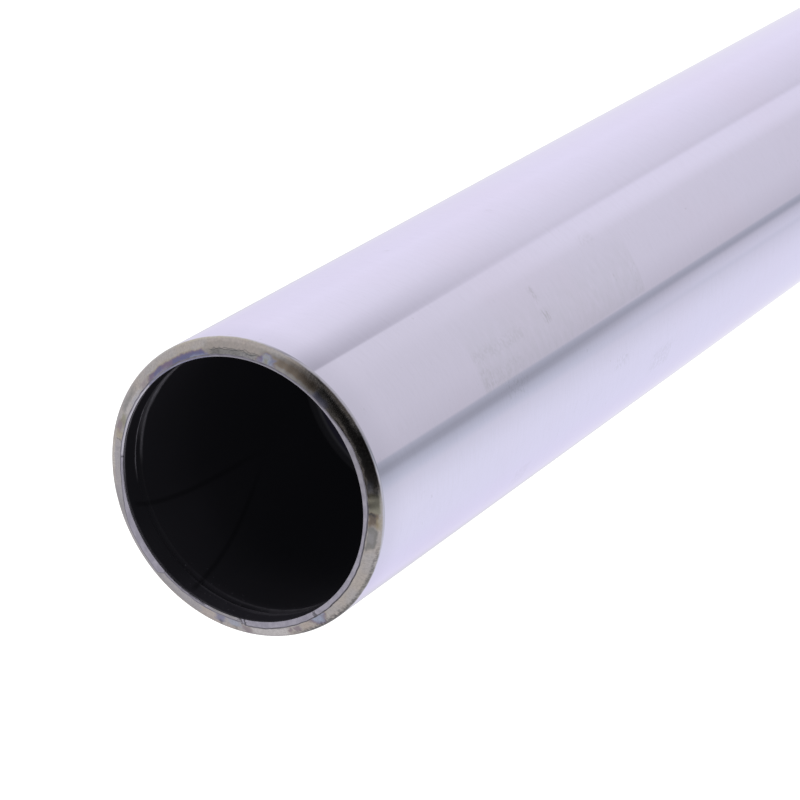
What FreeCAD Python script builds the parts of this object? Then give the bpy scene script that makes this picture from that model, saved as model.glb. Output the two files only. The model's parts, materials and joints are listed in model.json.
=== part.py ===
import FreeCAD, Part
import os
import Sketcher

# Motorcycle fork tube: seamless steel tube, its ends and bore turned, its outside
# ground and hard-chromed. It stands on its lower end with its axis on +Z, the origin
# at the middle of the lower face and the turned mouth, where the cap goes, at the top.

# Driving sizes, in millimetres: cell name, value, what it measures
SIZES = (
    ("outer_diameter", 41.0, "ground and chromed outside"),
    ("wall_thickness", 3.0, "wall of the tube below the counterbore"),
    ("tube_length", 600.0, "from end face to end face"),
    ("counterbore_step", 0.55, "how far the counterbore is cut into the wall"),
    ("counterbore_depth", 46.8, "from the mouth to the start of the coned seat"),
    ("seat_height", 0.9, "height of the cone that ends the counterbore"),
    ("ring_groove_step", 0.85, "how far the ring groove is cut into the counterbore's wall"),
    ("ring_groove_width", 1.2, "width of the retaining ring groove"),
    ("ring_groove_depth", 3.2, "from the mouth to the near wall of the ring groove"),
    ("lip_width", 0.65, "flat end face left between the bore and the bevel"),
    ("bevel_height", 0.95, "height of the bevel round the mouth"),
    ("bevel_blend_radius", 0.75, "rounding between the bevel and the outside"),
    ("foot_chamfer", 1.0, "chamfer outside the lower end"),
    ("foot_bore_chamfer", 0.5, "chamfer inside the lower end"),
)

# Radii and heights that follow from the driving sizes, as expressions over the sheet
OUTSIDE = "sizes.outer_diameter / 2"
BORE = OUTSIDE + " - sizes.wall_thickness"
COUNTERBORE = BORE + " + sizes.counterbore_step"
RING_GROOVE = COUNTERBORE + " + sizes.ring_groove_step"
LIP_EDGE = COUNTERBORE + " + sizes.lip_width"
BEVEL_WIDTH = "sizes.wall_thickness - sizes.counterbore_step - sizes.lip_width"
MOUTH = "sizes.tube_length"
BEVEL_FOOT = MOUTH + " - sizes.bevel_height"
GROOVE_TOP = MOUTH + " - sizes.ring_groove_depth"
GROOVE_BASE = GROOVE_TOP + " - sizes.ring_groove_width"
SEAT_TOP = MOUTH + " - sizes.counterbore_depth"
SEAT_BASE = SEAT_TOP + " - sizes.seat_height"
ORIGIN = "0"

FULL_TURN = 360
EDGE_TOLERANCE = 1e-4

doc = FreeCAD.newDocument("fork_tube_model")
sheet = doc.addObject("Spreadsheet::Sheet", "sizes")
for row, (alias, value, meaning) in enumerate(SIZES, start=1):
    sheet.set(f"A{row}", meaning)
    sheet.set(f"B{row}", str(value))
    sheet.setAlias(f"B{row}", alias)
doc.recompute()


def dimension(sketch, corners, column, kind, axis):
    """Ties each different radius or height of the outline to its expression, once."""
    done = set()
    for i, corner in enumerate(corners):
        expression = corner[column]
        if expression in done:
            continue
        done.add(expression)
        if expression == ORIGIN:
            sketch.addConstraint(Sketcher.Constraint("PointOnObject", i, 1, axis))
            continue
        value = float(sketch.evalExpression(expression))
        constraint = sketch.addConstraint(Sketcher.Constraint(kind, -1, 1, i, 1, value))
        sketch.setExpression(f"Constraints[{constraint}]", expression)


def half_section(body, name, corners):
    """Sketch of a closed outline on the body's XZ plane, one (radius, height) a corner."""
    sketch = body.newObject("Sketcher::SketchObject", name)
    plane = next(o for o in body.Origin.OriginFeatures if o.Role == "XZ_Plane")
    sketch.AttachmentSupport = (plane, "")
    sketch.MapMode = "FlatFace"
    points = []
    for radius, height in corners:
        across = float(sketch.evalExpression(radius))
        along = float(sketch.evalExpression(height))
        points.append(FreeCAD.Vector(across, along, 0))
    follower = [(i + 1) % len(corners) for i in range(len(corners))]
    for i, after in enumerate(follower):
        sketch.addGeometry(Part.LineSegment(points[i], points[after]), False)
    for i, after in enumerate(follower):
        sketch.addConstraint(Sketcher.Constraint("Coincident", i, 2, after, 1))
        if corners[i][0] == corners[after][0]:
            sketch.addConstraint(Sketcher.Constraint("Vertical", i))
        if corners[i][1] == corners[after][1]:
            sketch.addConstraint(Sketcher.Constraint("Horizontal", i))
    dimension(sketch, corners, 0, "DistanceX", -2)
    dimension(sketch, corners, 1, "DistanceY", -1)
    return sketch


def turn(body, kind, name, sketch):
    """Revolution or groove of a half section, a full turn about the tube's axis."""
    feature = body.newObject(kind, name)
    feature.Profile = sketch
    feature.ReferenceAxis = (sketch, ["V_Axis"])
    feature.Angle = FULL_TURN
    doc.recompute()
    return feature


def ring_edge(feature, radius, height):
    """Name of the feature's circular edge of that radius at that height."""
    wanted_radius = float(feature.evalExpression(radius))
    wanted_height = float(feature.evalExpression(height))
    for number, edge in enumerate(feature.Shape.Edges, start=1):
        if not isinstance(edge.Curve, Part.Circle):
            continue
        radius_off = abs(edge.Curve.Radius - wanted_radius)
        height_off = abs(edge.Curve.Center.z - wanted_height)
        if max(radius_off, height_off) < EDGE_TOLERANCE:
            return f"Edge{number}"
    raise ValueError(f"{feature.Name} has no edge of radius {wanted_radius} at {wanted_height}")


def break_edge(body, kind, name, base, radius, height, sizes):
    """Chamfer or fillet of one circular edge of the feature before it."""
    feature = body.newObject(kind, name)
    feature.Base = (base, [ring_edge(base, radius, height)])
    if len(sizes) > 1:
        feature.ChamferType = "Two distances"
    for field, expression in sizes.items():
        feature.setExpression(field, expression)
    doc.recompute()
    return feature


body = doc.addObject("PartDesign::Body", "fork_tube")
body.Label = "fork_tube"

# Tube blank, cut to length
blank_section = half_section(body, "blank_section", [
    (BORE, ORIGIN),
    (OUTSIDE, ORIGIN),
    (OUTSIDE, MOUTH),
    (BORE, MOUTH),
])
blank = turn(body, "PartDesign::Revolution", "blank", blank_section)

# Counterbore that takes the cap, ended by a coned seat
counterbore_section = half_section(body, "counterbore_section", [
    (ORIGIN, SEAT_BASE),
    (BORE, SEAT_BASE),
    (COUNTERBORE, SEAT_TOP),
    (COUNTERBORE, MOUTH),
    (ORIGIN, MOUTH),
])
counterbore = turn(body, "PartDesign::Groove", "counterbore", counterbore_section)

# Groove for the ring that keeps the cap in, just below the mouth
ring_groove_section = half_section(body, "ring_groove_section", [
    (ORIGIN, GROOVE_BASE),
    (RING_GROOVE, GROOVE_BASE),
    (RING_GROOVE, GROOVE_TOP),
    (ORIGIN, GROOVE_TOP),
])
ring_groove = turn(body, "PartDesign::Groove", "ring_groove", ring_groove_section)

# Bevel round the mouth: it leaves a narrow flat lip and rolls over into the outside
bevel_sizes = {"Size": "sizes.bevel_height", "Size2": BEVEL_WIDTH}
bevel = break_edge(body, "PartDesign::Chamfer", "mouth_bevel", ring_groove, OUTSIDE, MOUTH, bevel_sizes)
blend_sizes = {"Radius": "sizes.bevel_blend_radius"}
blend = break_edge(body, "PartDesign::Fillet", "mouth_blend", bevel, OUTSIDE, BEVEL_FOOT, blend_sizes)

# Lower end, turned square, with its outer and inner edges broken
foot_sizes = {"Size": "sizes.foot_chamfer"}
foot = break_edge(body, "PartDesign::Chamfer", "foot_edge", blend, OUTSIDE, ORIGIN, foot_sizes)
foot_bore_sizes = {"Size": "sizes.foot_bore_chamfer"}
foot_bore = break_edge(body, "PartDesign::Chamfer", "foot_bore_edge", foot, BORE, ORIGIN, foot_bore_sizes)

for item in doc.Objects:
    if "Invalid" in item.State or "Error" in item.State:
        raise RuntimeError(f"{item.Name} did not build: {item.State}")
tube = body.Shape
if tube.isNull() or not tube.isValid() or len(tube.Solids) != 1:
    raise RuntimeError("the tube is not one valid solid")
lip_name = ring_edge(body, LIP_EDGE, MOUTH)

os.makedirs("parts", exist_ok=True)
tube.exportStep(os.path.join("parts", body.Label + ".step"))
print("volume", round(tube.Volume, 1), "box", tube.optimalBoundingBox(), "lip edge", lip_name)
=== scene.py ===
import json
from math import atan2, degrees, pi, tan

import bpy
from mathutils import Matrix, Vector, noise


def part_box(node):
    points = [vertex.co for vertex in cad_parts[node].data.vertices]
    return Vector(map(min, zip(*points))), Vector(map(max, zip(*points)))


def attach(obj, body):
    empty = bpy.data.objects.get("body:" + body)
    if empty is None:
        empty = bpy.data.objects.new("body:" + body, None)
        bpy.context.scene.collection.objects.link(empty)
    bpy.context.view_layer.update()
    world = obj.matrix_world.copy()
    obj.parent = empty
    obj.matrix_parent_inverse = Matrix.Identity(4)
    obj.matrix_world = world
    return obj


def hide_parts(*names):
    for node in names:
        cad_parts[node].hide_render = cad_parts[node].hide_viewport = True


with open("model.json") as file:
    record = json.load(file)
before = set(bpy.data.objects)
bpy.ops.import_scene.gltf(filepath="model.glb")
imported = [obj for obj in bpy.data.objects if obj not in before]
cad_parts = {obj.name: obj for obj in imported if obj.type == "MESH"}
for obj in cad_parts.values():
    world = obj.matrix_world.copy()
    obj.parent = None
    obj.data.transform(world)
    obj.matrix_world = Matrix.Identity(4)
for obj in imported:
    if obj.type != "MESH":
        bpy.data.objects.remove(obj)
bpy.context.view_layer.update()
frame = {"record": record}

# The tube is one length of seamless steel, turned at both ends and bored for the cap.
# Its wall is drawn ring by ring: up the outside, over the mouth, down the bore to the
# foot. Each turned edge is then broken a little, as the lathe's tool leaves it.
MM = 0.001
RING_POINTS = 480
SAME_PLACE = 0.002 * MM

mount = {m["name"]: m for m in frame["record"]["mounts"]}
cap_bore = mount["cap_bore"]
main_bore = mount["main_bore"]
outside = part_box("fork_tube")[1].x
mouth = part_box("fork_tube")[1].z
counterbore = cap_bore["dims"]["r_mm"] * MM
bore = main_bore["dims"]["r_mm"] * MM
half_cap_bore = cap_bore["dims"]["length_mm"] * MM / 2
half_main_bore = main_bore["dims"]["length_mm"] * MM / 2
groove_base = cap_bore["pos_m"][2] + half_cap_bore
seat_top = cap_bore["pos_m"][2] - half_cap_bore
seat_base = main_bore["pos_m"][2] + half_main_bore
foot_bore_chamfer = main_bore["pos_m"][2] - half_main_bore

FOOT_CHAMFER = 1.0 * MM
GROOVE_WIDTH = 1.2 * MM
GROOVE_STEP = 0.85 * MM
MEAN_LIP = 0.65 * MM
BEVEL_HEIGHT = 0.95 * MM
BLEND_RADIUS = 0.75 * MM
groove_top = groove_base + GROOVE_WIDTH
groove_floor = counterbore + GROOVE_STEP
lip_edge = counterbore + MEAN_LIP

FOOT_RIM = (outside - FOOT_CHAMFER, 0.0)
FOOT_EDGE = (outside, FOOT_CHAMFER)
BEVEL_EDGE = (outside, mouth - BEVEL_HEIGHT)
LIP_RIM = (lip_edge, mouth)
BORE_RIM = (counterbore, mouth)
GROOVE_LIP = (counterbore, groove_top)
GROOVE_ROOF = (groove_floor, groove_top)
GROOVE_SEAT = (groove_floor, groove_base)
GROOVE_EDGE = (counterbore, groove_base)
SEAT_EDGE = (counterbore, seat_top)
SEAT_FOOT = (bore, seat_base)
FOOT_BORE = (bore, foot_bore_chamfer)
FOOT_BORE_RIM = (bore + foot_bore_chamfer, 0.0)
WALL = (
    FOOT_RIM, FOOT_EDGE, BEVEL_EDGE, LIP_RIM, BORE_RIM, GROOVE_LIP, GROOVE_ROOF,
    GROOVE_SEAT, GROOVE_EDGE, SEAT_EDGE, SEAT_FOOT, FOOT_BORE, FOOT_BORE_RIM,
)


def on_ring(point, ring):
    return abs(point.xy.length - ring[0]) < SAME_PLACE and abs(point.z - ring[1]) < SAME_PLACE


def break_edges(tube, is_on_edge, size, steps):
    """Bevels the edges of the tube whose two ends both pass the test."""
    bpy.ops.mesh.select_all(action="DESELECT")
    bpy.ops.object.mode_set(mode="OBJECT")
    points = tube.data.vertices
    for edge in tube.data.edges:
        edge.select = all(is_on_edge(points[end].co) for end in edge.vertices)
    bpy.ops.object.mode_set(mode="EDIT")
    bpy.ops.mesh.bevel(offset=size, offset_type="OFFSET", segments=steps, profile=0.5, affect="EDGES")


def break_rings(tube, rings, size, steps):
    break_edges(tube, lambda point: any(on_ring(point, ring) for ring in rings), size, steps)


bpy.ops.object.select_all(action="DESELECT")
bpy.ops.mesh.primitive_circle_add(
    vertices=RING_POINTS, radius=FOOT_RIM[0], fill_type="NOTHING", location=(0, 0, 0)
)
tube = bpy.context.object
tube.name = "steel_tube"
bpy.ops.object.mode_set(mode="EDIT")
bpy.context.tool_settings.mesh_select_mode = (False, True, False)
bpy.ops.mesh.select_all(action="SELECT")
for here, there in zip(WALL, WALL[1:] + WALL[:1]):
    bpy.ops.mesh.extrude_region_move(TRANSFORM_OT_translate={"value": (0, 0, there[1] - here[1])})
    grow = there[0] / here[0]
    bpy.ops.transform.resize(value=(grow, grow, 1), center_override=(0, 0, 0))
bpy.ops.mesh.select_all(action="SELECT")
bpy.ops.mesh.remove_doubles(threshold=SAME_PLACE)
bpy.ops.mesh.normals_make_consistent(inside=False)

BORE_BREAK = 0.17 * MM
bevel_turn = pi / 2 - atan2(BEVEL_HEIGHT, outside - lip_edge)
blend_reach = BLEND_RADIUS * tan(bevel_turn / 2)
# The rings that are broken alike, how far back from the edge, and in how many steps
BREAKS = (
    ([BEVEL_EDGE], blend_reach, 12),
    ([SEAT_EDGE, SEAT_FOOT], 0.25 * MM, 3),
    ([FOOT_EDGE, FOOT_RIM, FOOT_BORE, FOOT_BORE_RIM], 0.12 * MM, 2),
    ([GROOVE_LIP, GROOVE_EDGE], 0.1 * MM, 3),
    ([BORE_RIM], BORE_BREAK, 4),
    ([GROOVE_ROOF, GROOVE_SEAT], 0.06 * MM, 2),
)
for rings, size, steps in BREAKS:
    break_rings(tube, rings, size, steps)

# The bevel was taken off by hand, so it left a lip of uneven width round the bore: wide
# at the back and the left, narrow at the right, and wavy everywhere. Each pair is an
# angle round the mouth, from 0 at the front to 90 on the right, and the lip's width.
LIP_WIDTHS = (
    (-180, 1.15), (-170, 1.15), (-168, 0.38), (-147, 0.36), (-128, 0.45), (-126, 0.80), (-117, 0.95),
    (-90, 0.82), (-62, 0.72), (-46, 0.58), (-26, 0.86), (-8, 0.85), (2, 0.52), (12, 0.34), (100, 0.34),
    (148, 0.36), (158, 0.68), (166, 1.12), (180, 1.15),
)
LIP_WAVE = 0.09 * MM
WAVES_PER_METRE = 900.0


def lip_width(angle):
    for (start, width), (end, next_width) in zip(LIP_WIDTHS, LIP_WIDTHS[1:]):
        if start <= angle <= end:
            return (width + (next_width - width) * (angle - start) / (end - start)) * MM
    return 0.0


def on_lip_rim(point):
    return abs(point.z - mouth) < SAME_PLACE and point.xy.length > counterbore + BORE_BREAK + SAME_PLACE


bpy.ops.object.mode_set(mode="OBJECT")
for point in tube.data.vertices:
    if on_ring(point.co, LIP_RIM):
        angle = degrees(atan2(point.co.x, -point.co.y))
        wave = LIP_WAVE * noise.noise(point.co * WAVES_PER_METRE)
        radius = counterbore + lip_width(angle) + wave
        point.co.xy *= radius / point.co.xy.length
bpy.ops.object.mode_set(mode="EDIT")
LIP_BREAK = 0.1 * MM
break_edges(tube, on_lip_rim, size=LIP_BREAK, steps=4)
bpy.ops.object.mode_set(mode="OBJECT")
bpy.ops.object.shade_smooth()
even_out = tube.modifiers.new("even_shading", "WEIGHTED_NORMAL")
even_out.weight = 100
bpy.ops.object.modifier_apply(modifier=even_out.name)

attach(tube, "root")
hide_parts("fork_tube")


# The outside is ground and hard-chromed to a mirror, with fine grinding lines round it.
# Packing tape has left a dull square on its front, with specks and dashes of glue.
def wire(tree, value, socket):
    """Puts a number, a colour or another node's output on a socket."""
    if isinstance(value, bpy.types.NodeSocket):
        tree.links.new(value, socket)
    else:
        socket.default_value = value


def calc(tree, operation, *values):
    node = tree.nodes.new("ShaderNodeMath")
    node.operation = operation
    for value, socket in zip(values, node.inputs):
        wire(tree, value, socket)
    return node.outputs[0]


def times(tree, *factors):
    product = factors[0]
    for factor in factors[1:]:
        product = calc(tree, "MULTIPLY", product, factor)
    return product


def soft_step(tree, value, nothing, full):
    """0 at the first limit and 1 at the second, whichever of them is the higher."""
    node = tree.nodes.new("ShaderNodeMapRange")
    node.interpolation_type = "SMOOTHSTEP"
    wire(tree, value, node.inputs["Value"])
    node.inputs["From Min"].default_value = min(nothing, full)
    node.inputs["From Max"].default_value = max(nothing, full)
    node.inputs["To Min"].default_value = float(nothing > full)
    node.inputs["To Max"].default_value = float(nothing < full)
    return node.outputs["Result"]


def window(tree, value, low, high, edge):
    """1 between the limits, fading to 0 over the edge on each side of them."""
    rise = soft_step(tree, value, low - edge, low + edge)
    fall = soft_step(tree, value, high + edge, high - edge)
    return times(tree, rise, fall)


def mix(tree, factor, first, second):
    node = tree.nodes.new("ShaderNodeMix")
    node.data_type = "RGBA"
    wire(tree, factor, node.inputs["Factor"])
    wire(tree, first, node.inputs["A"])
    wire(tree, second, node.inputs["B"])
    return node.outputs["Result"]


def stretched(tree, place, scales):
    node = tree.nodes.new("ShaderNodeMapping")
    node.inputs["Scale"].default_value = scales
    tree.links.new(place, node.inputs["Vector"])
    return node.outputs["Vector"]


def grain(tree, place, fineness, detail=3.0):
    """Noise from 0 to 1. Its fineness is one number for all ways or one for each axis."""
    if isinstance(fineness, tuple):
        place = stretched(tree, place, fineness)
        fineness = 1.0
    node = tree.nodes.new("ShaderNodeTexNoise")
    node.inputs["Scale"].default_value = fineness
    node.inputs["Detail"].default_value = detail
    tree.links.new(place, node.inputs["Vector"])
    return node.outputs["Fac"]


def new_finish(name, roughness):
    """An empty metal: its tree, its shader, and the place on the tube in three ways.

    The place is the object's own coordinates, the radius and depth below the mouth in
    millimetres, and the angle round the tube in degrees, as for the lip's widths.
    """
    finish = bpy.data.materials.new(name)
    finish.use_nodes = True
    tube.data.materials.append(finish)
    tree = finish.node_tree
    shader = tree.nodes["Principled BSDF"]
    shader.inputs["Metallic"].default_value = 1.0
    shader.inputs["Roughness"].default_value = roughness
    place = tree.nodes.new("ShaderNodeTexCoord").outputs["Object"]
    axes = tree.nodes.new("ShaderNodeSeparateXYZ")
    tree.links.new(place, axes.inputs[0])
    x, y, height = axes.outputs
    square = calc(tree, "ADD", times(tree, x, x), times(tree, y, y))
    radius = calc(tree, "DIVIDE", calc(tree, "SQRT", square), MM)
    depth = calc(tree, "DIVIDE", calc(tree, "SUBTRACT", mouth, height), MM)
    angle = calc(tree, "DEGREES", calc(tree, "ARCTAN2", x, times(tree, y, -1.0)))
    return tree, shader, place, radius, depth, angle


CHROME = (0.70, 0.655, 0.865, 1)
WARM_CHROME = (0.70, 0.645, 0.85, 1)
LINED_CHROME = (0.64, 0.60, 0.785, 1)
SHADED_CHROME = (0.61, 0.575, 0.76, 1)
CHROME_RIM = (0.90, 0.87, 1.0, 1)
CHROME_ROUGHNESS = 0.045
GLUE_FILM = (0.60, 0.575, 0.72, 1)
GLUE_SPECK = (0.40, 0.39, 0.44, 1)
# How fine the marks are, in waves to the metre
GRINDING_LINES = (400, 400, 6000)
WARM_PLACES = 38.0
TAPE_MOTTLE = (500, 500, 900)
GLUE_BLOTCHES = (1700, 1700, 2400)
GLUE_DASHES = (1500, 1500, 4200)
DUST_GRAINS = 900.0
# Angles between which the tape's left and right sides fade in, and its depths
TAPE_LEFT = (-19.6, -18.4)
TAPE_RIGHT = (13, -8)
TAPE_DEPTHS = (31.3, 82)
TAPE_EDGE = 0.3


def chrome_colour(tree, place, depth):
    """Hard chrome: grinding lines, a little warmth in places, and painted shade towards the mouth."""
    lines = soft_step(tree, grain(tree, place, GRINDING_LINES), 0.40, 0.72)
    warmth = soft_step(tree, grain(tree, place, WARM_PLACES), 0.45, 0.7)
    # Painted shade: the chrome is made darker within 8 mm of the mouth.
    mouth_shade = times(tree, soft_step(tree, depth, 8.0, 1.0), 0.75)
    plain = mix(tree, warmth, CHROME, WARM_CHROME)
    lined = mix(tree, times(tree, lines, 0.3), plain, LINED_CHROME)
    return mix(tree, mouth_shade, lined, SHADED_CHROME)


tree, shader, place, _, depth, angle = new_finish("hard_chrome", CHROME_ROUGHNESS)
shader.inputs["Specular Tint"].default_value = CHROME_RIM
surface = chrome_colour(tree, place, depth)
stuck = times(tree, soft_step(tree, angle, *TAPE_LEFT), soft_step(tree, angle, *TAPE_RIGHT))
taped = times(tree, stuck, window(tree, depth, *TAPE_DEPTHS, TAPE_EDGE))
film = times(tree, taped, soft_step(tree, grain(tree, place, TAPE_MOTTLE, 6.0), 0.1, 0.8))
surface = mix(tree, times(tree, film, 0.5), surface, GLUE_FILM)
# Angle from and to, depth from and to, what stays bare of the patch, and how dark it is
SPECKS = (
    (-18.0, -9.5, 31.5, 34.5, 0.42, 0.19),
    (-18.0, -12.0, 34.0, 43.0, 0.44, 0.13),
    (-8.0, -3.0, 31.5, 46.0, 0.40, 0.15),
    (-8.5, -3.0, 52.4, 54.2, 0.42, 0.42),
    (0.5, 7.5, 52.6, 53.8, 0.44, 0.38),
    (-19.0, -6.0, 79.5, 82.0, 0.50, 0.16),
    (-14.5, -12.5, 5.0, 31.0, 0.57, 0.20),
    (-71.0, -61.0, 42.0, 46.5, 0.38, 0.14),
    (-58.0, -48.0, 84.0, 91.0, 0.38, 0.16),
    (-43.5, -38.5, 70.0, 74.5, 0.42, 0.18),
    (-2.0, 3.0, 3.0, 4.6, 0.55, 0.22),
    (-27.0, -19.5, 37.0, 43.0, 0.50, 0.22),
    (56.0, 58.5, 41.5, 42.6, 0.40, 0.25),
    (45.5, 48.0, 65.0, 66.2, 0.40, 0.28),
    (8.0, 13.0, 42.0, 46.0, 0.54, 0.18),
    (71.0, 76.0, 91.0, 93.0, 0.42, 0.20),
    (10.0, 14.5, 72.0, 76.0, 0.40, 0.12),
)
# A patch that is less deep than this is a row of dashes
DASH_ROW = 2.5
blotches = grain(tree, place, GLUE_BLOTCHES)
dashes = grain(tree, place, GLUE_DASHES, 2.0)
for angle_from, angle_to, depth_from, depth_to, bare, dark in SPECKS:
    around = window(tree, angle, angle_from, angle_to, 1.5)
    along = window(tree, depth, depth_from, depth_to, 0.6)
    glue = dashes if depth_to - depth_from < DASH_ROW else blotches
    specks = soft_step(tree, glue, bare, bare + 0.2)
    surface = mix(tree, times(tree, around, along, specks, dark), surface, GLUE_SPECK)
dust = soft_step(tree, grain(tree, place, DUST_GRAINS, 1.0), 0.79, 0.82)
surface = mix(tree, times(tree, dust, 0.18), surface, GLUE_SPECK)
tree.links.new(surface, shader.inputs["Base Color"])

# On the bevel the steel is bare. Heat has browned and blued it in patches, the tool has
# left teeth along its outer edge, and the chrome starts halfway round the blend.
BARE_WARM = (0.445, 0.40, 0.375, 1)
BARE_GREY = (0.425, 0.40, 0.405, 1)
PALE = (0.55, 0.52, 0.53, 1)
DULL = (0.36, 0.345, 0.375, 1)
CREAM = (0.58, 0.54, 0.49, 1)
PEACH = (0.46, 0.38, 0.34, 1)
STRAW = (0.36, 0.31, 0.21, 1)
OLIVE = (0.27, 0.26, 0.19, 1)
BROWN = (0.21, 0.16, 0.12, 1)
RUST = (0.165, 0.135, 0.115, 1)
BLUE = (0.12, 0.135, 0.28, 1)
PALE_BLUE = (0.33, 0.36, 0.47, 1)
VIOLET = (0.15, 0.105, 0.215, 1)
MAUVE = (0.27, 0.215, 0.25, 1)
SMOKE_AND_SHADE = (0.18, 0.18, 0.18, 1)
SOOT = (0.045, 0.045, 0.055, 1)
# Angle from and to, how far across the bevel from and to, how much the patch narrows
# outwards, its colour and its strength
HEAT_PATCHES = (
    (-180, -169, -0.2, 0.62, 0.0, DULL, 0.8),
    (-169, -147, -0.4, 0.60, 0.0, DULL, 0.8),
    (-147, -138, 0.0, 1.0, 0.0, PEACH, 0.45),
    (-141, -136, -0.3, 0.50, 0.3, BLUE, 0.65),
    (-138.8, -137.4, 0.35, 1.3, 0.0, SOOT, 0.55),
    (-136, -127, -0.3, 0.50, 0.0, DULL, 0.55),
    (-134, -129, -0.3, 0.40, 0.0, PALE_BLUE, 0.7),
    (-132, -130.5, 0.4, 1.3, 0.0, SOOT, 0.35),
    (-128.6, -127.6, -0.4, 0.12, 0.0, SOOT, 0.8),
    (-128, -124.5, 0.15, 1.2, 0.0, MAUVE, 0.75),
    (-124, -108, -0.1, 0.78, 0.0, PALE, 0.9),
    (-125, -108, 0.03, 0.15, 0.0, SOOT, 0.5),
    (-107.6, -105.6, 0.20, 0.56, 0.5, MAUVE, 0.9),
    (-104.3, -101.6, 0.18, 0.58, 0.5, MAUVE, 0.9),
    (-101, -95.5, 0.12, 0.60, 0.3, PEACH, 0.6),
    (-104, -58, 0.68, 1.06, 0.0, SMOKE_AND_SHADE, 0.42),
    (-103, -74, 0.80, 1.4, 0.0, SMOKE_AND_SHADE, 0.62),
    (-96.8, -86.2, 0.05, 0.78, 0.85, STRAW, 0.45),
    (-96, -87, 0.05, 0.74, 0.85, VIOLET, 0.75),
    (-94.2, -88.6, 0.05, 0.62, 0.8, PALE_BLUE, 0.95),
    (-51, -40.5, 0.05, 0.60, 0.35, SMOKE_AND_SHADE, 0.85),
    (-48.5, -43, 0.08, 0.46, 0.3, DULL, 0.4),
    (-41, -34.5, 0.04, 0.62, 0.0, BROWN, 0.95),
    (-40.5, -35.5, 0.1, 0.5, 0.0, SOOT, 0.4),
    (13, 68, -0.3, 0.62, 0.0, SMOKE_AND_SHADE, 0.42),
    # Painted shade: the next patch darkens a strip at the front, out on the blend.
    (-27, 34, 0.80, 1.05, 0.0, SMOKE_AND_SHADE, 0.5),
    (-42, -37, 0.50, 0.80, 0.0, STRAW, 0.55),
    (-36.8, -35.4, 0.05, 0.42, 0.0, SOOT, 0.7),
    (-35, -28, 0.10, 0.75, 0.0, OLIVE, 0.8),
    (-27.5, -22.5, 0.14, 0.5, 0.2, PALE_BLUE, 0.6),
    (9, 17.5, -0.3, 0.28, 0.2, BLUE, 0.6),
    (17, 37, 0.10, 0.52, 0.0, BROWN, 0.8),
    (34.6, 46.2, -0.05, 0.58, 0.75, STRAW, 0.5),
    (35.0, 45.6, -0.05, 0.53, 0.7, VIOLET, 0.75),
    (36.2, 44.4, -0.05, 0.46, 0.6, PALE_BLUE, 0.95),
    (38.6, 43.6, 0.26, 0.42, 0.3, STRAW, 0.35),
    (37.6, 38.8, -0.05, 0.30, 0.0, BLUE, 0.35),
    (42.4, 43.8, -0.05, 0.26, 0.0, VIOLET, 0.6),
    (39.2, 42.0, -0.05, 0.22, 0.2, OLIVE, 0.75),
    (44.5, 67, 0.2, 0.9, 0.0, PEACH, 0.3),
    (46, 66, -0.3, 0.22, 0.0, SMOKE_AND_SHADE, 0.6),
    (46, 52, -0.3, 0.12, 0.0, DULL, 0.5),
    (61, 66.5, -0.3, 0.26, 0.3, SOOT, 0.25),
    (66, 102, -0.3, 0.32, 0.1, STRAW, 0.55),
    (66.3, 101.5, -0.4, 0.25, 0.1, VIOLET, 0.8),
    (67, 86, -0.4, 0.17, 0.1, BLUE, 0.75),
    (90, 96, -0.4, 0.20, 0.3, BLUE, 0.6),
    (67.5, 76, -0.4, 0.02, 0.0, PALE_BLUE, 0.55),
    (88, 97, -0.4, 0.0, 0.0, PALE_BLUE, 0.3),
    (101, 105, -0.3, 0.30, 0.0, MAUVE, 0.55),
    (107, 119, -0.3, 0.22, 0.0, PALE, 0.5),
    (107, 114, -0.3, 0.16, 0.0, PALE_BLUE, 0.3),
    (108, 119.5, 0.26, 0.62, 0.0, SMOKE_AND_SHADE, 0.38),
    (110.5, 118, 0.34, 0.50, 0.0, SMOKE_AND_SHADE, 0.3),
    (120.6, 125.2, -0.3, 0.40, 0.0, OLIVE, 0.75),
    (123, 127.5, 0.0, 0.5, 0.2, BROWN, 0.25),
    (124.2, 128.4, 0.18, 0.58, 0.0, MAUVE, 0.8),
    (127, 131, -0.2, 0.50, 0.0, STRAW, 0.5),
    (131.2, 131.9, -0.3, 0.45, 0.0, SOOT, 0.6),
    (135.2, 135.8, -0.3, 0.32, 0.0, SOOT, 0.5),
    (132, 152, -0.3, 0.46, 0.0, DULL, 0.7),
    (134, 150, 0.50, 1.1, 0.0, CREAM, 0.6),
    (145, 149, 0.3, 0.8, 0.0, MAUVE, 0.25),
    (152, 180, -0.2, 0.62, 0.0, DULL, 0.8),
)
# How far it is across the bevel, as radius and depth added up in millimetres: from the
# lip's mean edge, which counts as 0, to where the blend meets the outside, which is 1
ALL_ACROSS = (outside + BEVEL_HEIGHT + blend_reach - lip_edge) / MM
COARSE_FRAY = 900.0
FINE_FRAY = 1400.0


def worn_place(tree, place, radius, depth, angle):
    """How far across the bevel it is, a noise, and the angle and way across frayed by noise."""
    across = calc(tree, "SUBTRACT", calc(tree, "ADD", radius, depth), lip_edge / MM)
    across = calc(tree, "DIVIDE", across, ALL_ACROSS)
    coarse = calc(tree, "SUBTRACT", grain(tree, place, COARSE_FRAY, 5.0), 0.5)
    fine = calc(tree, "SUBTRACT", grain(tree, place, FINE_FRAY, 4.0), 0.5)
    frayed_angle = calc(tree, "ADD", angle, times(tree, coarse, 7.0))
    frayed_across = calc(tree, "ADD", across, times(tree, fine, 0.26))
    return across, coarse, frayed_angle, frayed_across


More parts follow.
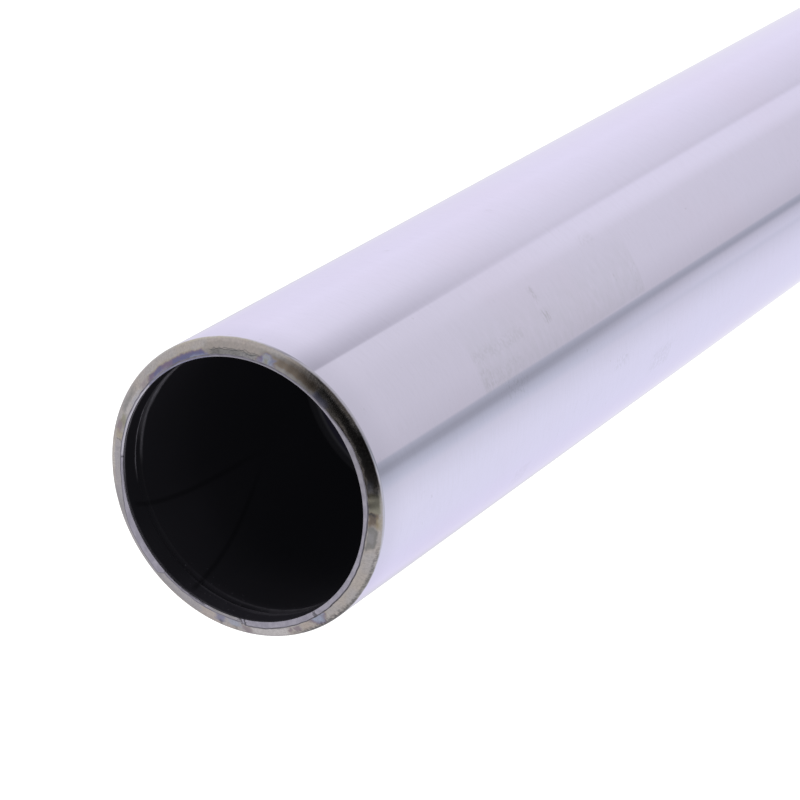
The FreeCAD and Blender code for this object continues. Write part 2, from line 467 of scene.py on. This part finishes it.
def paint(tree, colour, angle, across, patches):
    """Lays patches of colour over one another, in the order of their table."""
    for angle_from, angle_to, inner, outer, narrowing, tint, strength in patches:
        middle, half = (angle_from + angle_to) / 2, (angle_to - angle_from) / 2
        edge = min(1.3, half * 0.7)
        off_middle = calc(tree, "ABSOLUTE", calc(tree, "SUBTRACT", angle, middle))
        outward = times(tree, calc(tree, "SUBTRACT", across, inner), narrowing / (outer - inner))
        reach = times(tree, calc(tree, "SUBTRACT", 1.0, outward), half)
        inside = soft_step(tree, calc(tree, "SUBTRACT", off_middle, reach), edge, -edge)
        band = window(tree, across, inner, outer, min(0.08, (outer - inner) * 0.4))
        colour = mix(tree, times(tree, inside, band, strength), colour, tint)
    return colour


def strokes(tree, angle, across, per_degree):
    """Short marks that run across the bevel, from 0 to 1."""
    sweep = tree.nodes.new("ShaderNodeCombineXYZ")
    tree.links.new(times(tree, angle, per_degree), sweep.inputs[0])
    tree.links.new(times(tree, across, 4.0), sweep.inputs[1])
    return soft_step(tree, grain(tree, sweep.outputs[0], 1.0, 2.0), 0.35, 0.65)


def area(tree, angle, across, angle_from, angle_to, inner, outer, soft_ends, soft_sides):
    """A place on the bevel: 1 inside its limits, fading to 0 at its ends and sides."""
    around = window(tree, angle, angle_from, angle_to, soft_ends)
    return times(tree, around, window(tree, across, inner, outer, soft_sides))


BEVEL_ROUGHNESS = 0.15
BARE_RIM = (0.98, 0.95, 1.0, 1)
STEEL_CLOUDS = 300.0
SCUFF_MARKS = 3200.0
BRUSH_STROKES = 1.6
tree, shader, place, radius, depth, angle = new_finish("heated_bevel", BEVEL_ROUGHNESS)
shader.inputs["Specular Tint"].default_value = BARE_RIM
across, frayed, patch_angle, patch_across = worn_place(tree, place, radius, depth, angle)
cloudy = soft_step(tree, grain(tree, place, STEEL_CLOUDS), 0.35, 0.65)
steel = mix(tree, cloudy, BARE_WARM, BARE_GREY)
steel = paint(tree, steel, patch_angle, patch_across, HEAT_PATCHES)
scuffs = soft_step(tree, grain(tree, place, SCUFF_MARKS, 2.0), 0.35, 0.75)
steel = mix(tree, times(tree, scuffs, 0.2), steel, SMOKE_AND_SHADE)
brushed = strokes(tree, angle, across, BRUSH_STROKES)
steel = mix(tree, times(tree, brushed, 0.12), steel, SMOKE_AND_SHADE)
# Angle from and to, how far across from and to, how soft the place's ends and its sides
# are, and how many strokes of the tool go to a degree
TOOL_MARKS = (
    (-100, -49, 0.66, 1.02, 4, 0.05, 1.3),
    (-106, -79, 0.52, 0.80, 4, 0.08, 1.3),
    (-29, 26, 0.40, 0.92, 6, 0.12, 1.9),
)
for angle_from, angle_to, inner, outer, soft_ends, soft_sides, per_degree in TOOL_MARKS:
    marked = area(tree, angle, across, angle_from, angle_to, inner, outer, soft_ends, soft_sides)
    marks = times(tree, marked, strokes(tree, angle, across, per_degree), 0.5)
    steel = mix(tree, marks, steel, SOOT)
# Scale has curled up along two thin dark lines where the heat was greatest: how far
# across each of them is, how many waves it has to a degree, and how far it sways
SCALE_LINES = ((0.18, 0.22, 0.50), (0.25, 0.45, 0.36))
scaled = window(tree, angle, 43.5, 66, 1.5)
for line_at, per_degree, sway in SCALE_LINES:
    sweep = tree.nodes.new("ShaderNodeCombineXYZ")
    tree.links.new(times(tree, angle, per_degree), sweep.inputs[0])
    wave = calc(tree, "SUBTRACT", grain(tree, sweep.outputs[0], 1.0, 1.0), 0.5)
    line = calc(tree, "ADD", times(tree, wave, sway), line_at)
    off_line = calc(tree, "ABSOLUTE", calc(tree, "SUBTRACT", across, line))
    curl = times(tree, soft_step(tree, off_line, 0.03, 0.005), scaled)
    steel = mix(tree, times(tree, curl, 0.6), steel, SOOT)
flaked = times(tree, area(tree, angle, across, 44, 67, -0.3, 0.2, 2, 0.05), scuffs)
steel = mix(tree, times(tree, flaked, 0.3), steel, SOOT)
# Rust is duller than the bare steel: it scatters light where the mirror would be black.
# Angle from and to, how far across from and to, how soft its sides are, how rusty it is
RUSTY_PLACES = (
    (-26, 4, 0.08, 0.20, 0.08, 0.42),
    (-3, 17, 0.66, 0.9, 0.14, 0.62),
    (-31, -25, 0.1, 0.45, 0.14, 0.3),
    (16, 34, 0.45, 0.75, 0.15, 0.45),
)
RUST_SCATTER = 0.42
rusty = 0.0
for angle_from, angle_to, inner, outer, soft_sides, share in RUSTY_PLACES:
    rust = area(tree, patch_angle, patch_across, angle_from, angle_to, inner, outer, 4, soft_sides)
    rusty = calc(tree, "MAXIMUM", rusty, times(tree, rust, share))
steel = mix(tree, rusty, steel, RUST)
mirror = calc(tree, "SUBTRACT", 1.0, times(tree, rusty, RUST_SCATTER))
tree.links.new(mirror, shader.inputs["Metallic"])
# The steel is bare further out at the left and less far out at the front
FIRST_CHROME = 0.88
FULL_CHROME = 1.03
further_out = times(tree, window(tree, angle, -142, -76, 5), 0.3)
less_far = times(tree, window(tree, angle, -52, 46, 12), 0.09)
bare_reach = calc(tree, "SUBTRACT", further_out, less_far)
plated_at = calc(tree, "ADD", across, calc(tree, "SUBTRACT", times(tree, frayed, 0.12), bare_reach))
plated = soft_step(tree, plated_at, FIRST_CHROME, FULL_CHROME)
# Painted shade: the chrome on the blend is darkened at the front, between -50 and 44 degrees round the
# mouth.
front_blend_shade = times(tree, window(tree, angle, -50, 44, 12), 0.35)
blend_chrome = mix(tree, front_blend_shade, chrome_colour(tree, place, depth), SMOKE_AND_SHADE)
tree.links.new(mix(tree, plated, steel, blend_chrome), shader.inputs["Base Color"])
unplated = calc(tree, "SUBTRACT", 1.0, plated)
dulled = times(tree, unplated, BEVEL_ROUGHNESS - CHROME_ROUGHNESS)
tree.links.new(calc(tree, "ADD", dulled, CHROME_ROUGHNESS), shader.inputs["Roughness"])

# The lip is the narrow flat face that the facing tool left round the bore. It has a few
# nicks, and the edge between it and the bevel is coloured as a thin dark line.
LIP_GREY = (0.30, 0.285, 0.345, 1)
LIP_LIGHT = (0.38, 0.36, 0.425, 1)
LIP_BRIGHT = (0.56, 0.54, 0.61, 1)
LIP_ROUGHNESS = 0.25
NICKS = (
    (-128.9, -127.9, -0.4, 0.2, 0.0, SOOT, 0.8),
    (-126.6, -125.6, -0.4, 0.2, 0.0, SOOT, 0.8),
    (-91.6, -90.2, -0.15, 0.2, 0.0, SOOT, 0.7),
    (-168.8, -167.6, -0.4, 0.2, 0.0, SOOT, 0.5),
    (-168.5, -146, -0.8, -0.155, 0.0, SOOT, 0.75),
    (-143, -129, -0.4, 0.2, 0.0, OLIVE, 0.35),
    (138.2, 139.4, -0.4, 0.2, 0.0, SOOT, 0.7),
    (66, 101, -0.2, 0.2, 0.0, BLUE, 0.45),
    (102, 137, -0.4, 0.2, 0.0, LIP_BRIGHT, 0.8),
    (-147, -130, -0.14, 0.2, 0.0, DULL, 0.5),
    (-30, 2, -0.4, 0.3, 0.0, SMOKE_AND_SHADE, 0.25),
    (12, 66, -0.16, 0.2, 0.0, SMOKE_AND_SHADE, 0.4),
)
tree, shader, place, radius, depth, angle = new_finish("turned_lip", LIP_ROUGHNESS)
_, frayed, patch_angle, patch_across = worn_place(tree, place, radius, depth, angle)
tool_marks = soft_step(tree, frayed, -0.15, 0.15)
faced = mix(tree, tool_marks, LIP_GREY, LIP_LIGHT)
tree.links.new(paint(tree, faced, patch_angle, patch_across, NICKS), shader.inputs["Base Color"])

LINE_DARK = (0.075, 0.07, 0.08, 1)
EDGE_ROUGHNESS = 0.3
tree, shader, place, radius, depth, angle = new_finish("dirty_edge", EDGE_ROUGHNESS)
_, frayed, patch_angle, _ = worn_place(tree, place, radius, depth, angle)
darker_stretch = window(tree, patch_angle, -126, -32, 3)
share = calc(tree, "ADD", 0.45, times(tree, darker_stretch, 0.35))
uneven = calc(tree, "ADD", share, times(tree, frayed, 1.2))
tree.links.new(mix(tree, uneven, LIP_GREY, LINE_DARK), shader.inputs["Base Color"])

# The bore is honed steel under a dark film of oil, which has run in two thin lines. The
# rim and the groove's edges have painted highlights, and a painted glow stands in for the light in the
# bore.
BORE_DARK = (0.0045, 0.0045, 0.0052, 1)
BORE_LIGHT = (0.0095, 0.009, 0.011, 1)
LIT_NEAR_WALL = (0.025, 0.0235, 0.030, 1)
HIGHLIGHT_AND_GRIT = (0.13, 0.125, 0.145, 1)
BORE_GLOW = (0.0020, 0.0020, 0.0025, 1)
MOUTH_GLOW = (0.0038, 0.0037, 0.0047, 1)
SEAT_GLOW = (0.0135, 0.0135, 0.016, 1)
DEEP_GLOW = (0.007, 0.0065, 0.011, 1)
OIL_RUN_AND_SHADE = (0.001, 0.001, 0.0012, 1)
BORE_ROUGHNESS = 0.45
OIL_SHINE = 0.06
OIL_CLOUDS = 150.0
RUB_FRAY = 900.0
GRIT_GRAINS = 2400.0
# Painted highlights: bright bands on the rim and at the groove's edges.
# Depth from and to, angle from and to, how far into the wall, and how bright it is
BORE_HIGHLIGHTS = (
    (-1.0, 0.38, -181, 181, 1.0, 0.35),
    (-1.0, 0.52, 108, 148, 1.0, 0.85),
    (-1.0, 0.45, -152, -134, 1.0, 0.6),
    (2.95, 3.4, 116, 148, 0.15, 0.85),
    (2.85, 3.2, -156, -124, 0.15, 0.3),
    (2.4, 4.2, -128, -98, 1.0, 0.33),
    (4.0, 4.5, -126, -98, 1.0, 0.35),
    (4.0, 4.5, 94, 132, 1.0, 0.18),
    (4.4, 5.1, 92, 116, 0.15, 0.5),
    (4.4, 4.75, 114, 142, 0.15, 0.35),
    (4.3, 4.6, -142, -126, 0.15, 0.15),
    (2.3, 2.9, -134, -112, 1.0, 0.15),
)
tree, shader, place, radius, depth, angle = new_finish("oiled_bore", BORE_ROUGHNESS)
shader.inputs["Metallic"].default_value = 0.0
shader.inputs["Specular IOR Level"].default_value = OIL_SHINE
film = mix(tree, grain(tree, place, OIL_CLOUDS), BORE_DARK, BORE_LIGHT)
# Painted shade: the film is darkened between 88 and 170 degrees round the bore.
film = mix(tree, times(tree, window(tree, angle, 88, 170, 14), 0.65), film, OIL_RUN_AND_SHADE)
# Painted light: the wall from -156 to -60 degrees is lighter within a few millimetres of the mouth.
near_wall_light = times(tree, window(tree, angle, -156, -60, 14), soft_step(tree, depth, 6, 3))
film = mix(tree, near_wall_light, film, LIT_NEAR_WALL)
frayed_depth = calc(tree, "ADD", depth, times(tree, grain(tree, place, RUB_FRAY), 0.3))
off_wall = calc(tree, "SUBTRACT", radius, counterbore / MM)
for depth_from, depth_to, angle_from, angle_to, reach, bright in BORE_HIGHLIGHTS:
    along = window(tree, frayed_depth, depth_from + 0.15, depth_to + 0.15, 0.15)
    around = window(tree, angle, angle_from, angle_to, 6)
    not_deeper = soft_step(tree, off_wall, reach + 0.1, reach)
    film = mix(tree, times(tree, along, around, not_deeper, bright), film, HIGHLIGHT_AND_GRIT)
grit = soft_step(tree, grain(tree, place, GRIT_GRAINS, 1.0), 0.70, 0.76)
gritty = times(tree, soft_step(tree, depth, 9, 1), window(tree, angle, -168, -104, 10))
film = mix(tree, times(tree, grit, gritty, 0.7), film, HIGHLIGHT_AND_GRIT)
seat_from = (mouth - seat_top) / MM
seat_to = (mouth - seat_base) / MM
below_seat = soft_step(tree, depth, seat_to + 0.2, seat_to + 0.6)
on_seat = times(tree, window(tree, depth, seat_from - 0.1, seat_to + 0.2, 0.3), 0.25)
seat_corner = window(tree, depth, seat_to - 0.1, seat_to + 0.4, 0.25)
# Painted light: the bore glows faintly, more near the mouth, on the seat and below it.
painted_glow = mix(tree, soft_step(tree, depth, 22, 3), BORE_GLOW, MOUTH_GLOW)
painted_glow = mix(tree, below_seat, painted_glow, DEEP_GLOW)
painted_glow = mix(tree, on_seat, painted_glow, SEAT_GLOW)
painted_glow = mix(tree, seat_corner, painted_glow, SEAT_GLOW)
# On its way down the first run turns ever faster round the bore, the second less and less
FIRST_RUN_FROM = -154.5
SECOND_RUN_TO = 170.0
drift = times(tree, depth, calc(tree, "ADD", 0.3275, times(tree, depth, 0.022)))
settling = calc(tree, "EXPONENT", times(tree, depth, -0.125))
first_run = calc(tree, "SUBTRACT", FIRST_RUN_FROM, drift)
second_run = calc(tree, "SUBTRACT", SECOND_RUN_TO, times(tree, settling, 11.0))
run_ends = times(tree, soft_step(tree, depth, 35, 22), soft_step(tree, depth, 0.5, 2))
for run in (first_run, second_run):
    off_run = calc(tree, "WRAP", calc(tree, "SUBTRACT", angle, run), 180.0, -180.0)
    beside = calc(tree, "ABSOLUTE", off_run)
    wet = times(tree, soft_step(tree, beside, 1.7, 0.3), run_ends, 0.45)
    film = mix(tree, wet, film, OIL_RUN_AND_SHADE)
    painted_glow = mix(tree, wet, painted_glow, OIL_RUN_AND_SHADE)
tree.links.new(film, shader.inputs["Base Color"])
tree.links.new(painted_glow, shader.inputs["Emission Color"])
shader.inputs["Emission Strength"].default_value = 1.0

CHROMED, BEVELLED, LIP, EDGE, BORED = range(5)
FLAT, NEARLY_FLAT = 0.999, 0.9
for face in tube.data.polygons:
    outwards = face.normal.xy.dot(face.center.xy) > 0
    below_mouth = mouth - face.center.z
    at_foot = face.normal.z < -NEARLY_FLAT and face.center.z < SAME_PLACE
    if (face.normal.z > FLAT or not outwards) and below_mouth < BORE_BREAK or at_foot:
        face.material_index = LIP
    elif face.normal.z > NEARLY_FLAT and below_mouth < LIP_BREAK and outwards:
        face.material_index = EDGE
    elif outwards and below_mouth < BEVEL_HEIGHT + blend_reach and face.center.xy.length > groove_floor:
        face.material_index = BEVELLED
    elif outwards and face.center.xy.length > groove_floor:
        face.material_index = CHROMED
    else:
        face.material_index = BORED

# The floor is a plain white sheet. The camera sees it white, and it keeps the tube's
# soft shadow; the chrome shows the cloth of the studio round it instead.
FLOOR_SIZE = 30.0
PAPER_WHITE = (0.8, 0.8, 0.8, 1)
PAPER_GLOW = 0.55
bpy.ops.object.select_all(action="DESELECT")
bpy.ops.mesh.primitive_plane_add(size=FLOOR_SIZE, location=(0, 0, 0))
floor = bpy.context.object
floor.name = "floor"
floor.visible_glossy = False
paper = bpy.data.materials.new("white_paper")
paper.use_nodes = True
tree = paper.node_tree
tree.nodes.clear()
diffuse = tree.nodes.new("ShaderNodeBsdfDiffuse")
diffuse.inputs["Color"].default_value = PAPER_WHITE
glow = tree.nodes.new("ShaderNodeEmission")
rays = tree.nodes.new("ShaderNodeLightPath")
seen = calc(tree, "MAXIMUM", rays.outputs["Is Camera Ray"], rays.outputs["Is Transmission Ray"])
tree.links.new(times(tree, seen, PAPER_GLOW), glow.inputs["Strength"])
both = tree.nodes.new("ShaderNodeAddShader")
tree.links.new(diffuse.outputs[0], both.inputs[0])
tree.links.new(glow.outputs[0], both.inputs[1])
output = tree.nodes.new("ShaderNodeOutputMaterial")
tree.links.new(both.outputs[0], output.inputs["Surface"])
floor.data.materials.append(paper)

# The studio is a tent of white cloth that the chrome mirrors. Its folds give the chrome
# its bands: a grey card in front, a dark slit at the card's left edge and a fold at its
# right edge, and over the camera the tent is open to the dark room.
world = bpy.data.worlds.new("cloth_tent")
bpy.context.scene.world = world
world.use_nodes = True
tree = world.node_tree
tree.nodes.clear()
way = tree.nodes.new("ShaderNodeTexCoord").outputs["Generated"]
axes = tree.nodes.new("ShaderNodeSeparateXYZ")
tree.links.new(way, axes.inputs[0])
x, y, z = axes.outputs
turn = calc(tree, "DEGREES", calc(tree, "ARCTAN2", x, times(tree, y, -1.0)))
fall = times(tree, calc(tree, "DEGREES", calc(tree, "ARCSINE", z)), -1.0)
# The card and its folds lean, more at the left than at the right. At this many degrees
# down they are where FOLDS has them.
SLANT_FROM = 55.0
FRONT_SLANT = 0.55
SLANT_PER_DEGREE = -0.0071
slant = calc(tree, "ADD", FRONT_SLANT, times(tree, turn, SLANT_PER_DEGREE))
leaning = times(tree, calc(tree, "SUBTRACT", fall, SLANT_FROM), slant)
card_turn = calc(tree, "ADD", turn, leaning)
WHITE_CLOTH = (0.98, 1.0, 0.93)
EVEN_CLOTH = (0.99, 1.0, 0.98)
COOL_CLOTH = (0.95, 1.0, 0.935)
SLATE_CLOTH = (0.92, 1.0, 0.95)
GREY_CARD = (0.98, 1.0, 0.92)
# Degrees round the tent from the front, how light the cloth is there, and which it is
FOLDS = (
    (-180, 0.68, EVEN_CLOTH),
    (-150, 0.98, EVEN_CLOTH),
    (-110, 1.04, COOL_CLOTH),
    (-88, 1.03, COOL_CLOTH),
    (-77, 0.995, COOL_CLOTH),
    (-68, 0.935, COOL_CLOTH),
    (-61, 0.87, COOL_CLOTH),
    (-56, 0.765, SLATE_CLOTH),
    (-50, 0.63, SLATE_CLOTH),
    (-46.5, 0.49, SLATE_CLOTH),
    (-43.5, 0.465, SLATE_CLOTH),
    (-38.2, 0.58, SLATE_CLOTH),
    (-37, 0.72, GREY_CARD),
    (-27, 0.75, GREY_CARD),
    (-12, 0.785, GREY_CARD),
    (14, 0.81, GREY_CARD),
    (34, 0.855, GREY_CARD),
    (45.2, 0.87, GREY_CARD),
    (47.4, 0.83, WHITE_CLOTH),
    (56, 0.91, WHITE_CLOTH),
    (66, 0.95, WHITE_CLOTH),
    (84, 1.03, WHITE_CLOTH),
    (108, 1.09, WHITE_CLOTH),
    (132, 1.045, WHITE_CLOTH),
    (156, 0.94, EVEN_CLOTH),
    (180, 0.72, EVEN_CLOTH),
)
folds = tree.nodes.new("ShaderNodeValToRGB")
stops = folds.color_ramp.elements
for number, (turned, light, tint) in enumerate(FOLDS):
    where = (turned + 180) / 360
    stop = stops[number] if number < 2 else stops.new(where)
    stop.position = where
    stop.color = (light * tint[0], light * tint[1], light * tint[2], 1)
tree.links.new(calc(tree, "DIVIDE", calc(tree, "ADD", card_turn, 180.0), 360.0), folds.inputs["Fac"])

# The fold right of the card is in shade high up. Low down, light from the floor falls on
# the card's right end and into the slit at its left.
FOLD_SHADE = (0.0, 0.0, 0.02, 1)
CARD_GLOW = (1.1, 1.12, 1.06, 1)
SLIT_GLOW = (0.98, 1.0, 0.93, 1)
right_of_card = times(tree, soft_step(tree, card_turn, 45.4, 47.4), soft_step(tree, card_turn, 76, 47))
in_shade = times(tree, right_of_card, soft_step(tree, fall, 60, 53), 0.31)
card_middle = times(tree, soft_step(tree, card_turn, -40, -10), 0.28)
card_end = calc(tree, "MAXIMUM", soft_step(tree, card_turn, 15, 38), card_middle)
card_end = times(tree, card_end, soft_step(tree, card_turn, 51, 46))
card_lit = times(tree, card_end, soft_step(tree, fall, 54, 62), 0.55)
slit_lit = times(tree, window(tree, card_turn, -57, -44, 3), soft_step(tree, fall, 57, 62), 0.45)
cloth = mix(tree, in_shade, folds.outputs["Color"], FOLD_SHADE)
cloth = mix(tree, card_lit, cloth, CARD_GLOW)
cloth = mix(tree, slit_lit, cloth, SLIT_GLOW)

# The opening over the camera is a rounded gap in the roof, narrower towards the top.
ROOF_CLOTH = (0.9, 0.9, 0.9, 1)
DARK_ROOM = (0.012, 0.012, 0.012, 1)
GAP_CURVE = 0.27
curve = times(tree, z, z, GAP_CURVE)
left_edge = soft_step(tree, calc(tree, "SUBTRACT", x, curve), -0.78, -0.655)
right_edge = soft_step(tree, calc(tree, "ADD", x, curve), 0.84, 0.51)
open_ends = times(tree, soft_step(tree, z, -0.09, 0.36), soft_step(tree, y, 0.05, -0.2))
opening = times(tree, left_edge, right_edge, open_ends)
roof = mix(tree, opening, ROOF_CLOTH, DARK_ROOM)
tent = mix(tree, soft_step(tree, z, -0.1, 0.1), cloth, roof)
rays = tree.nodes.new("ShaderNodeLightPath")
background = tree.nodes.new("ShaderNodeBackground")
tree.links.new(mix(tree, rays.outputs["Is Camera Ray"], tent, (1, 1, 1, 1)), background.inputs["Color"])
output = tree.nodes.new("ShaderNodeOutputWorld")
tree.links.new(background.outputs[0], output.inputs["Surface"])

# A soft lamp high at the left, a square one, lights what is rough on the tube and puts
# the tube's shadow on the paper. The chrome doesn't show it.
LAMP_PLACE = Vector((-1.0, -0.8, 2.0))
LAMP_SIZE = 1.6
LAMP_WATTS = 25.0
lamp_data = bpy.data.lights.new("soft_lamp", "AREA")
lamp_data.size = LAMP_SIZE
lamp_data.energy = LAMP_WATTS
lamp = bpy.data.objects.new("soft_lamp", lamp_data)
bpy.context.collection.objects.link(lamp)
lamp.location = LAMP_PLACE
lamp.rotation_euler = (-LAMP_PLACE).to_track_quat("-Z", "Y").to_euler()
lamp.visible_glossy = False

# The camera looks down on the mouth from in front. It is rolled over, so that the tube
# runs to the upper right of the picture.
CAMERA_LENS = 145.6
SENSOR_WIDTH = 36.0
VIEW_SIDE = Vector((-0.53268, -0.69706, -0.47996))
VIEW_UP = Vector((0.84632, -0.43709, -0.30447))
FROM_MOUTH = Vector((0.0, -12.4991, 16.0644)) * outside
camera_data = bpy.data.cameras.new("camera")
camera_data.lens = CAMERA_LENS
camera_data.sensor_width = SENSOR_WIDTH
camera_data.clip_start = 0.01
camera = bpy.data.objects.new("camera", camera_data)
bpy.context.collection.objects.link(camera)
aim = Matrix((VIEW_SIDE, VIEW_UP, VIEW_SIDE.cross(VIEW_UP))).transposed().to_4x4()
camera.matrix_world = Matrix.Translation(Vector((0, 0, mouth)) + FROM_MOUTH) @ aim
bpy.context.scene.camera = camera
bpy.context.scene.view_settings.view_transform = "Standard"
